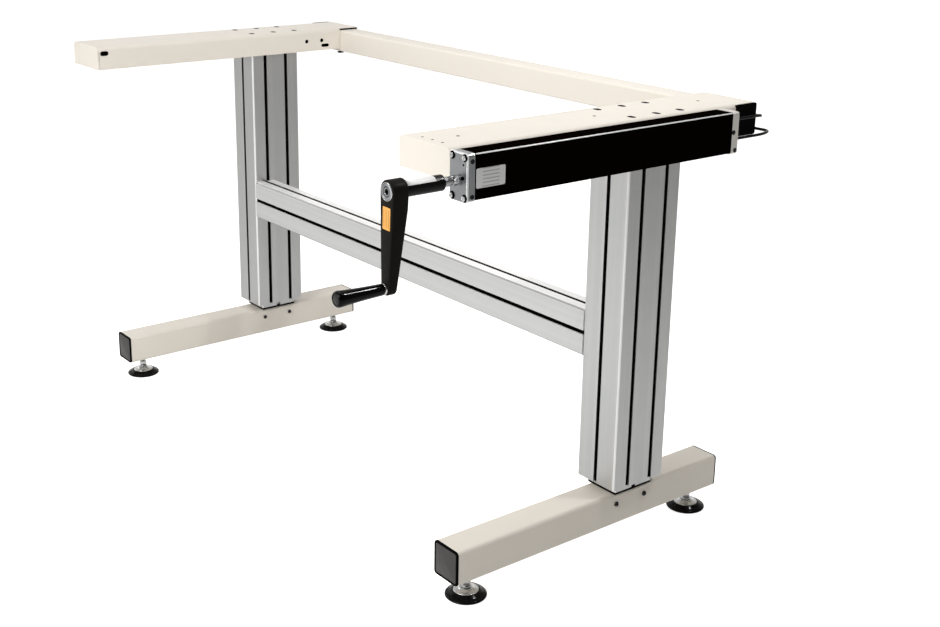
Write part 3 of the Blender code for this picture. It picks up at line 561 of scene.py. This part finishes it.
def levelling_foot(end, side):
    body = f"leveller_{end}_{side}"
    pad_node, stem_node = f"level_pad_{end}_{side}", f"level_stem_{end}_{side}"
    at = centre(pad_node)
    at.z = 0.0
    pad = lathe(f"rubber_pad_{end}_{side}", soften((
        (0, 0.0008), (0.026, 0.0008), (0.028, 0), (0.0338, 0), (0.035, 0.0012), (0.0349, 0.0026),
        (0.0335, 0.0040), (0.0290, 0.0060), (0.0255, 0.0084), (0.0236, 0.0098),
        (0.0224, 0.0101), (0.0216, 0.0090), (0, 0.0090)), 0.0007), at, "z", "rubber", body,
        72)
    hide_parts(pad_node)
    dish = lathe(f"dish_{end}_{side}", soften((
        (0, 0.0092), (0.0212, 0.0092), (0.0212, 0.0104), (0.0198, 0.0112), (0.0150, 0.0118),
        (0.0128, 0.0128), (0.0112, 0.0144), (0.0098, 0.0148), (0.0090, 0.0140),
        (0, 0.0140)), 0.0006), at, "z", "zinc", body, 64)
    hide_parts(stem_node)
    ball = [(0.0084 * cos(radians(a)), 0.0162 + 0.0062 * sin(radians(a)))
            for a in range(-80, 64, 9)]
    lathe(f"ball_{end}_{side}", ((0, ball[0][1]), *ball, (0.0052, 0.0222), (0, 0.0222)),
          at, "z", "steel", body)
    lathe(f"spanner_flats_{end}_{side}", ((0, 0.0216), (0.0066, 0.0216), (0.0076, 0.0222, 6),
          (0.0078, 0.0228, 6), (0.0078, 0.0278, 6), (0.0076, 0.0284, 6), (0.0066, 0.0290),
          (0, 0.0290)), at, "z", "zinc", body)
    thread(f"stud_{end}_{side}", 0.005, 0.0284, 0.0718, at, "zinc", body)


def foot_cap(end, side):
    node = f"foot_cap_{end}_{side}"
    low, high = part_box(node)
    at = (low + high) / 2
    outward = "-y" if end == "front" else "+y"
    at.y = low.y if end == "front" else high.y
    half = (high.x - low.x) / 2
    plug = ((0.0262, -0.0145), (0.0265, -0.0138), (0.0265, -0.0037))
    rim = ((0.0, 0.006, -0.0037), (0.0, 0.006, -0.0012), (0.0004, 0.0056, -0.0004),
           (0.0012, 0.0050, 0.0), (0.0028, 0.0036, 0.0), (0.0033, 0.0033, -0.0003),
           (0.0036, 0.0030, -0.0012), (0.0120, 0.0030, -0.0012))
    rings = [(reach, reach, 0.003, station) for reach, station in plug]
    rings += [(half - inset, half - inset, corner, station) for inset, corner, station in rim]
    cap = panel(f"cap_{end}_{side}", rings, at, outward, "plastic", "base")
    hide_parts(node)
    inset, sunk = 0.0038, 0.0016
    rings = [(reach - inset, reach - inset, corner, station - sunk)
             for reach, _, corner, station in plate_rings(half, half, 0.003, 0.0010, 0.0004)]
    panel(f"cap_panel_{end}_{side}", rings, at, outward, "cap_panel", "base")


def foot_bolt(end, side):
    node = f"foot_bolt_{end}_{side}"
    low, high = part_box(node)
    at, reach = (low + high) / 2, (high.x - low.x) / 2
    head = ((0, reach - 0.0018), (0.0019, reach - 0.0018, 6), (0.0023, reach - 0.0001, 6),
            (0.0028, reach), (0.0036, reach - 0.0005), (0.0043, reach - 0.0014),
            (0.0045, reach - 0.0028), (0.0040, reach - 0.0029))
    mirrored = [(radius, -station, *flats) for radius, station, *flats in reversed(head)]
    bolt = lathe(f"cross_bolt_{end}_{side}", (*head, *mirrored), at, "x", "bolt", "base")
    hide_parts(node)


# ---------------------------------------------------------------- beams and crossbar

def shade_plug(name, at, half_width, half_height, axis):
    """Near-black plate set a little into an opening of a beam: painted shade of the hollow behind
    it.
    """
    radius = min(half_width, half_height) - 0.0001
    panel(name, plate_rings(half_width, half_height, radius, 0.0016, 0.0002), at, axis,
          "dark", "lift")


# openings in both side walls of a beam: name, which, y, z, half width, half height
WALL_OPENINGS = (("hole_plug", "1", 78, 742, 0.0045, 0.0045),
                 ("hole_plug", "2", 119, 742, 0.0045, 0.0045),
                 ("slot_plug", "rear", 128, 730, 0.0104, 0.0036),
                 ("slot_plug", "front", -419.5, 753, 0.0094, 0.0049))
BEAM_WALL_REACH = 58.6
BEAM_TOP_Z = 765.6


def beam_details(side):
    """Painted shade in a beam's openings, and a near-black strip of painted shade in the gap
    where the rear crossbar meets it.
    """
    x = leg_x(side)
    for face, axis in ((1, "+x"), (-1, "-x")):
        wall = x + face * BEAM_WALL_REACH
        facing = "out" if face * x > 0 else "in"
        for name, which, y, z, half_width, half_height in WALL_OPENINGS:
            shade_plug(f"{name}_{facing}_{side}_{which}", spot(wall, y, z), half_width,
                       half_height, axis)
    # near-black strip: painted shade of the gap between the rear crossbar and the beam
    panel(f"crossbar_gap_shade_{side}", plate_rings(0.0604, 0.0250, 0.002, 0.0030, 0.0003),
          spot(x, CROSSBAR_Y, 762.2), "+z", "dark", "lift")
    for row, across in (("left", -39), ("right", 39)):
        for number, y in enumerate((-54, 2, 57), 1):
            shade_plug(f"top_plug_{side}_{row}_{number}", spot(x + across, y, BEAM_TOP_Z),
                       0.0080, 0.0052, "+z")


def pump_fixings(side):
    """Small round openings on top of the beam that carries the pump, drawn as near-black discs of
    painted shade.
    """
    fixings = ((-24, -420, 0.0021), (0, -420, 0.0021), (24, -420, 0.0021), (0, -373, 0.0029),
               (0, -98, 0.0029), (0, 144, 0.0029))
    for number, (across, y, radius) in enumerate(fixings, 1):
        at = spot(leg_x(side) + across, y, BEAM_TOP_Z - 0.1)
        shade_plug(f"top_opening_shade_{side}_{number}", at, radius, radius, "+z")


def painted_slot_shades():
    """Near-black strips in the T-slots of both columns and of the lower bar: painted shade of the
    slots' depth.
    """
    column_slots = [("front", "-y", 0, -54.0), ("rear", "+y", 0, 58.0)]
    column_slots += [(f"{name}_{number}", axis, across, y)
                     for name, axis, across in (("low", "-x", -40.5), ("high", "+x", 40.5))
                     for number, y in enumerate((-25, 29), 1)]
    for side in SIDES:
        for name, axis, across, y in column_slots:
            shade_strip(f"slot_groove_shade_{side}_{name}", 0.0066, 0.299,
                        spot(leg_x(side) + across, y, 417), axis)
    for name, axis, y, z, half_width in (
            ("front", "-y", -54.0, 380, 0.0066), ("rear", "+y", -11.0, 380, 0.0066),
            ("top", "+z", -32.5, 420.4, 0.0038), ("under", "-z", -32.5, 342.5, 0.0066)):
        shade_strip(f"bar_groove_shade_{name}", 0.554, half_width, spot(0, y, z), axis)


# a thin near-black strip that paints the shade inside a slot
def shade_strip(name, half_width, half_height, at, axis):
    panel(name, plate_rings(half_width, half_height, 0.0005, 0.0012, 0.0003), at, axis,
          "dark", "lift")


# ---------------------------------------------------------------- pump and hoses

def cap_screw(number):
    """Screw of the front plate, with a near-black disc of painted shade for the recess round its
    head; its shank reaches back into the pump.
    """
    node = f"pump_screw_{number}"
    low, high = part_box(node)
    at = (low + high) / 2
    at.y = low.y + 0.0034
    shade_disc(f"screw_recess_shade_{number}", at, 0.0058)
    radius, height, socket, shank = 0.0038, 0.0033, 0.0016, 0.0025
    floor = -0.45 * height
    screw = lathe(f"cap_screw_{number}", (
        (0, floor), (socket * 0.9, floor, 6), (socket, -height + 0.0001, 6),
        (socket * 1.15, -height), (radius * 0.86, -height), (radius, -height + 0.0006),
        (radius, 0.0), (shank, 0.0), (shank, 0.03), (0, 0.03)), at, "y", "chrome", "lift")
    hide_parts(node)


def shade_disc(name, at, radius):
    """Near-black disc: painted shade of the recess round a screw head, and of the mouth of a hole
    in the front plate.
    """
    lathe(name, ((0, 0), (radius, 0), (radius, -0.0003), (radius - 0.0004, -0.0006),
                 (0, -0.0006)), at, "y", "dark", "lift")


def side_screw(name, y, z, radius):
    """Small screw in the outer side of a pump plate."""
    lathe(name, ((0, -0.0004), (radius, -0.0004), (radius, 0.0004), (radius * 0.8, 0.0009),
                 (0.0017, 0.0009), (0.0016, 0.0001, 6), (0, 0.0001)),
          spot(PUMP_SIDE_X, y, z), "x", "oxide", "lift")


def highlight_rod(name, end_radius, radius, reach, chamfer, at, axis):
    """Painted highlight along a pump edge: a thin white bar, reach long both ways, chamfered at
    its ends.
    """
    flank = reach - chamfer
    lathe(name, ((0, -reach), (end_radius, -reach), (radius, -flank), (radius, flank),
                 (end_radius, reach), (0, reach)), at, axis, "painted_edge_highlight", "lift", 16)


def pump_details():
    for number in range(1, 5):
        cap_screw(number)
    # near-black discs: painted shade inside the two holes of the front plate
    shade_disc("gland_hole", spot(690.6, PLATE_FRONT_Y, 729.4), 0.0030)
    shade_disc("vent_hole", spot(691.5, PLATE_FRONT_Y, 748.5), 0.0016)
    side_screw("front_side_screw_1", -426, 754, 0.0036)
    side_screw("front_side_screw_2", -426, 703, 0.0036)
    side_screw("rear_side_screw_1", 121, 732, 0.0040)
    side_screw("rear_side_screw_2", 127, 702, 0.0040)
    # thin white bars: painted highlights along the front plate's edges and the housing's top edge
    edge_x, edge_y = 699.4, -433.7
    highlight_rod("plate_highlight_side", 0.0013, 0.0017, 0.0338, 0.000507,
               spot(edge_x, edge_y, 730.2), "z")
    highlight_rod("plate_highlight_top", 0.0013, 0.0017, 0.0182, 0.000273,
               spot(681, edge_y, 764.1), "x")
    panel("rating_label", plate_rings(0.0266, 0.0144, 0.0026, 0.0003, 0.0001),
          RATING_LABEL_AT, "+x", "silver_label", "lift")
    highlight_rod("housing_edge_highlight", 0.0009, 0.0012, 0.2676, 0.0006, spot(edge_x, -152, 763.8), "y")


HOSE_ROUTES = {
    "right": ((681, 144.5, 748), (681, 170, 748), (681, 200, 748), (676, 217, 746),
              (659, 230, 742.5), (639, 219, 740), (636, 195, 739), (636, 170, 738),
              (634, 145, 737), (619, 105, 734), (600, 84, 732), (600, 67.9, 732)),
    "left": ((681, 144.5, 715), (681, 180, 715), (680, 220, 715), (668, 247, 715),
             (649, 240, 717), (635, 219, 722), (625, 203, 722), (613, 196, 722),
             (586, 195, 722), (300, 195, 722), (0, 195, 722), (-300, 195, 722),
             (-575, 195, 722), (-594, 187, 723), (-600, 170, 726), (-600, 110, 732),
             (-600, 67.9, 732)),
}


def smooth_route(waypoints, spacing):
    """Catmull-Rom curve through the waypoints, as in part.py."""
    knots = [Vector(point) for point in waypoints]
    knots = [2 * knots[0] - knots[1]] + knots + [2 * knots[-1] - knots[-2]]
    points = [knots[1]]
    for before, start, end, after in zip(knots, knots[1:], knots[2:], knots[3:]):
        steps = max(1, round((end - start).length / spacing))
        for step in range(1, steps + 1):
            t = step / steps
            points.append(0.5 * (2 * start + (end - before) * t
                                 + (2 * before - 5 * start + 4 * end - after) * t ** 2
                                 + (3 * start - before - 3 * end + after) * t ** 3))
    return points


def hose(side):
    """Hydraulic hose, a smooth tube along its route with crimped sleeves at both ends."""
    radius, segments = 0.0025, 16
    points = [spot(*point) for point in smooth_route(HOSE_ROUTES[side], 4)]
    shape = bmesh.new()
    rings = []
    across = Vector((1, 0, 0))
    for index, point in enumerate(points):
        ahead = points[min(index + 1, len(points) - 1)] - points[max(index - 1, 0)]
        ahead.normalize()
        across = (across - ahead * across.dot(ahead)).normalized()
        rise = ahead.cross(across)
        rings.append([shape.verts.new(point + (across * cos(tau * step / segments)
                                               + rise * sin(tau * step / segments)) * radius)
                      for step in range(segments)])
    solid_from_rings(shape, rings)
    tube = mesh_object(f"hydraulic_hose_{side}", shape, "hose", "lift")
    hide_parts(f"hose_{side}")
    sleeve = ((0.0026, 0.0), (0.0036, 0.0), (0.0039, 0.0008), (0.0039, 0.0032),
              (0.0036, 0.0036), (0.0036, 0.0050), (0.0039, 0.0054), (0.0039, 0.0070),
              (0.0036, 0.0078), (0.0026, 0.0080))
    for end, at in (("pump", points[0]), ("leg", points[-1])):
        lathe(f"crimp_{end}_{side}", sleeve, at, "y", "steel", "lift", 32)


def fitting(side):
    node = f"hose_fitting_{side}"
    low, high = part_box(node)
    at = (low + high) / 2
    at.y = low.y
    made = lathe(f"union_{side}", (
        (0, 0), (0.0050, 0), (0.0056, 0.0004, 6), (0.0058, 0.0009, 6), (0.0058, 0.0060, 6),
        (0.0056, 0.0065, 6), (0.0048, 0.0069), (0.0040, 0.0074), (0.0040, 0.0084),
        (0.0037, 0.0087), (0.0037, 0.0093), (0.0040, 0.0096), (0.0040, 0.0107),
        (0.0037, 0.0110), (0, 0.0110)), at, "y", "zinc", "lift")
    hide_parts(node)


# ---------------------------------------------------------------- crank

def arm_loop(inset, depth):
    """Outline of the arm, drawn in by inset; depth gives the y of each point."""
    hub, tip = HUB_RADIUS - inset, TIP_RADIUS - inset
    hub_steps, tip_steps = 32, 20
    lean = asin((HUB_RADIUS - TIP_RADIUS) / ARM_REACH)
    points = []
    for step in range(hub_steps + 1):
        angle = -lean + (pi + 2 * lean) * step / hub_steps
        points.append((hub * cos(angle), hub * sin(angle)))
    for step in range(tip_steps + 1):
        angle = pi + lean + (pi - 2 * lean) * step / tip_steps
        points.append((tip * cos(angle), tip * sin(angle) - ARM_REACH))
    return [crank_spot(x, depth(z), z) for x, z in spread(points)]


def spread(points, spacing=6.0):
    """Adds points along the long straight sides."""
    made = []
    for start, end in zip(points, points[1:] + points[:1]):
        start, end = Vector(start), Vector(end)
        count = max(1, round((end - start).length / spacing))
        made += [tuple(start.lerp(end, part / count)) for part in range(count)]
    return made


def arm_rear(along):
    """Rear face of the arm: flat at the hub, then sloping forward to the tip."""
    slope_start, slope = 26.3, 0.1033
    return ARM_REAR_Y - max(0.0, -along - slope_start) * slope


def round_edge(radius, angles):
    """How far a quarter-round edge is drawn in and sunk, at each angle in degrees."""
    return [(radius * (1 - sin(radians(angle))), radius * (1 - cos(radians(angle))))
            for angle in angles]


def crank_arm():
    loops = [arm_loop(inset, lambda along, sunk=sunk: ARM_FRONT_Y + sunk)
             for inset, sunk in round_edge(2.4, range(0, 91, 15))]
    loops += [arm_loop(inset, lambda along, sunk=sunk: arm_rear(along) - sunk)
              for inset, sunk in round_edge(1.6, range(90, -1, -15))]
    shape = bmesh.new()
    loops = [[shape.verts.new(point) for point in loop] for loop in loops]
    bridge_rings(shape, loops)
    for loop in (loops[0], loops[-1]):
        bmesh.ops.triangulate(shape, faces=[shape.faces.new(loop)])
    arm = mesh_object("crank_arm_casting", shape, "charcoal", "crank")
    smooth(arm, 40)
    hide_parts("crank_arm")


def crank_hub():
    """Silver disc with its bright rim, and a near-black bolt of painted shade in its recess."""
    at = crank_spot(0, ARM_FRONT_Y, 0)
    disc = lathe("hub_disc", (
        (0, 0.0016), (0.0020, 0.0014), (0.0026, 0.0004), (0.0042, 0.0002), (0.0048, -0.0004),
        (0.0062, -0.0004), (0.0066, 0.0002), (0.0074, 0.0002), (0.0078, -0.0007),
        (0.0100, -0.0007), (0.0112, -0.0004), (0.0115, 0.0004), (0.0115, 0.0026),
        (0, 0.0026)), at, "y", "hub", "crank")
    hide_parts("crank_hub_cap")
    lathe("hub_rim", ((0.0117, 0.0006), (0.0118, -0.0004), (0.0121, -0.0009), (0.0127, -0.0009),
                      (0.0131, -0.0003), (0.0132, 0.0006)), at, "y", "chrome", "crank",
          64)
    # near-black bolt head: painted shade of the recess in the hub
    lathe("hub_bolt_shade", ((0, -0.0002), (0.0013, -0.0002, 6), (0.0016, -0.0009, 6),
                       (0.0022, -0.0009), (0.0024, -0.0005), (0.0024, 0.0012), (0, 0.0012)),
          at, "y", "dark", "crank")


def arm_label():
    label = panel("arm_label", plate_rings(0.0087, 0.0160, 0.0010, 0.0003, 0.0001),
                  (0, 0, 0), "-y", "orange_label", "crank")
    label.data.transform(Matrix.Translation(ARM_LABEL_AT)
                         @ Matrix.Rotation(CRANK_LEAN, 4, "Y"))


def shaft_screw():
    """Cross-recess screw and collar on the crank shaft."""
    lathe("shaft_set_screw", ((0, 0.0009), (0.0024, 0.0009, 4), (0.0027, 0.0021, 4),
                              (0.0031, 0.0024), (0.0038, 0.0021), (0.0042, 0.0012),
                              (0.0042, 0.0), (0.0030, -0.0006), (0, -0.0006)),
          spot(689.9, SHAFT_SCREW_Y, 727.6), "x", "zinc", "crank")
    lathe("shaft_collar", ((0.0073, -0.0052), (0.0078, -0.0050), (0.0080, -0.0044),
                           (0.0080, 0.0044), (0.0078, 0.0050), (0.0073, 0.0052)),
          spot(CRANK[0], SHAFT_SCREW_Y, CRANK[1]), "y", "steel", "crank")


def sleeve_label():
    """White film wrapped round the top of the sleeve, its rim pressed down."""
    front, rear, rim, steps = -531.0, -482.0, 0.4, 16
    shape = bmesh.new()
    rings = []
    for y in (front, front + rim, rear - rim, rear):
        ring = []
        for step in range(steps + 1):
            angle = radians(32 + 92 * step / steps)
            reach = 11.72 if y in (front, rear) or step in (0, steps) else 11.95
            ring.append(shape.verts.new(spot(CRANK[0] + reach * cos(angle), y,
                                             CRANK[1] + reach * sin(angle))))
        rings.append(ring)
    for lower, upper in zip(rings, rings[1:]):
        for step in range(steps):
            shape.faces.new((lower[step], lower[step + 1], upper[step + 1], upper[step]))
    mesh_object("sleeve_label", shape, "white_label", "crank")


def crank_grip():
    pin = crank_spot(0, ARM_FRONT_Y, -ARM_REACH)
    collar = lathe("grip_collar", soften((
        (0, 0.0115), (0.0040, 0.0115), (0.0040, -0.0003), (0.0074, -0.0003), (0.0080, -0.0009),
        (0.0080, -0.0028), (0.0074, -0.0035), (0.0040, -0.0035), (0.0040, -0.0700),
        (0, -0.0700)), 0.0004), pin, "y", "chrome", "crank")
    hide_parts("grip_pin")
    profile = ((0.0046, -0.0690), (0.0046, -0.0040), (0.0076, -0.0038), (0.0082, -0.0043),
               (0.0084, -0.0054), (0.0088, -0.0220), (0.0094, -0.0390), (0.0104, -0.0560),
               (0.0111, -0.0670), (0.0117, -0.0745), (0.0116, -0.0770), (0.0110, -0.0790),
               (0.0098, -0.0803), (0.0084, -0.0808), (0.0078, -0.0806), (0.0074, -0.0800),
               (0, -0.0800))
    grip = lathe("grip_body", profile, pin, "y", "grip", "grip", 64)
    smooth(grip, 50)
    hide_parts("crank_grip")
    lathe("grip_cap", ((0, -0.0804), (0.0060, -0.0804), (0.0070, -0.0801), (0.0073, -0.0796),
          (0, -0.0796)), pin, "y", "grip_cap", "grip")


def details():
    for side in SIDES:
        for end in ENDS:
            levelling_foot(end, side)
            foot_cap(end, side)
            foot_bolt(end, side)
        beam_details(side)
        if side == "right":
            pump_fixings(side)
        fitting(side)
        hose(side)
    painted_slot_shades()
    pump_details()
    crank_arm()
    crank_hub()
    arm_label()
    shaft_screw()
    sleeve_label()
    crank_grip()


dress_nodes()
details()


# ---------------------------------------------------------------- studio

# name, place, target, edge of the square in metres, watts
LIGHTS = (
    ("key", (0.8, -2.9, 2.2), (-0.1, 0.0, 0.35), 1.2, 55),
    ("top", (-0.8, 0.1, 4.2), (0.0, 0.0, 0.0), 2.6, 32),
    ("left", (-3.4, -1.6, 1.8), (0.0, 0.0, 0.4), 2.0, 14),
    ("inner", (0.5, 0.3, 1.7), (-0.5, 0.1, 1.35), 0.7, 4.5),
    ("fill", (0.2, -1.1, 0.75), (-0.6, 0.1, 0.4), 0.5, 2.5),
    ("glint", (1.24, 0.82, 2.15), (0.66, -0.4, 0.59), 0.10, 11),
)


def studio():
    scene = bpy.context.scene
    scene.view_settings.view_transform = "Standard"
    studio_world(scene)
    studio_floor(scene)
    for light in LIGHTS:
        area_light(*light)


def studio_world(scene):
    """White to the camera; as light, brighter near the horizon and on the left."""
    world = bpy.data.worlds.new("studio")
    scene.world = world
    world.use_nodes = True
    tree = world.node_tree
    background = tree.nodes["Background"]
    background.inputs["Color"].default_value = (1.0, 0.99, 0.975, 1.0)

    direction = tree.nodes.new("ShaderNodeTexCoord").outputs["Generated"]
    parts = tree.nodes.new("ShaderNodeSeparateXYZ")
    tree.links.new(direction, parts.inputs["Vector"])
    height = map_range(tree, parts.outputs["Z"], 0.05, 0.7, 0.72, 0.3)
    side = map_range(tree, parts.outputs["X"], -0.7, 0.8, 1.6, 0.2)
    both = tree.nodes.new("ShaderNodeMath")
    both.operation = "MULTIPLY"
    tree.links.new(height, both.inputs[0])
    tree.links.new(side, both.inputs[1])

    path = tree.nodes.new("ShaderNodeLightPath")
    strength = tree.nodes.new("ShaderNodeMix")
    strength.inputs["B"].default_value = 1.05
    tree.links.new(path.outputs["Is Camera Ray"], strength.inputs["Factor"])
    tree.links.new(both.outputs["Value"], strength.inputs["A"])
    tree.links.new(strength.outputs["Result"], background.inputs["Strength"])


def studio_floor(scene):
    shape = bmesh.new()
    bmesh.ops.create_grid(shape, x_segments=1, y_segments=1, size=14)
    mesh = bpy.data.meshes.new("floor")
    shape.to_mesh(mesh)
    shape.free()
    floor = bpy.data.objects.new("floor", mesh)
    floor.location = (0, 0, -0.0004)
    pale = bpy.data.materials.new("pale_floor")
    pale.use_nodes = True
    tree = pale.node_tree
    shader = tree.nodes["Principled BSDF"]
    shader.inputs["Base Color"].default_value = (0.86, 0.86, 0.855, 1.0)
    shader.inputs["Roughness"].default_value = 0.8
    shader.inputs["Emission Color"].default_value = (1.0, 1.0, 1.0, 1.0)
    path = tree.nodes.new("ShaderNodeLightPath")
    glow = map_range(tree, path.outputs["Is Camera Ray"], 0.0, 1.0, 0.03, 0.78)
    tree.links.new(glow, shader.inputs["Emission Strength"])
    mesh.materials.append(pale)
    scene.collection.objects.link(floor)


def area_light(name, at, target, size, power):
    light = bpy.data.lights.new(name, "AREA")
    light.size = size
    light.energy = power
    item = bpy.data.objects.new(name, light)
    item.location = at
    item.rotation_euler = (Vector(target) - Vector(at)).to_track_quat("-Z", "Y").to_euler()
    item.visible_camera = False
    bpy.context.scene.collection.objects.link(item)


def camera():
    turn, rise, roll = (radians(angle) for angle in CAMERA_TURN)
    back = Vector((sin(turn) * cos(rise), -cos(turn) * cos(rise), sin(rise)))
    right = Vector((cos(turn), sin(turn), 0.0))
    up = back.cross(right)
    tilted_right = right * cos(roll) + up * sin(roll)
    tilted_up = up * cos(roll) - right * sin(roll)
    data = bpy.data.cameras.new("camera")
    data.sensor_width = 36.0
    data.lens = CAMERA_LENS
    data.shift_x, data.shift_y = CAMERA_SHIFT
    data.clip_end = 60.0
    item = bpy.data.objects.new("camera", data)
    facing = Matrix((tilted_right, tilted_up, back)).transposed()
    item.matrix_world = Matrix.Translation(CAMERA_AT) @ facing.to_4x4()
    bpy.context.scene.collection.objects.link(item)
    bpy.context.scene.camera = item


studio()
camera()
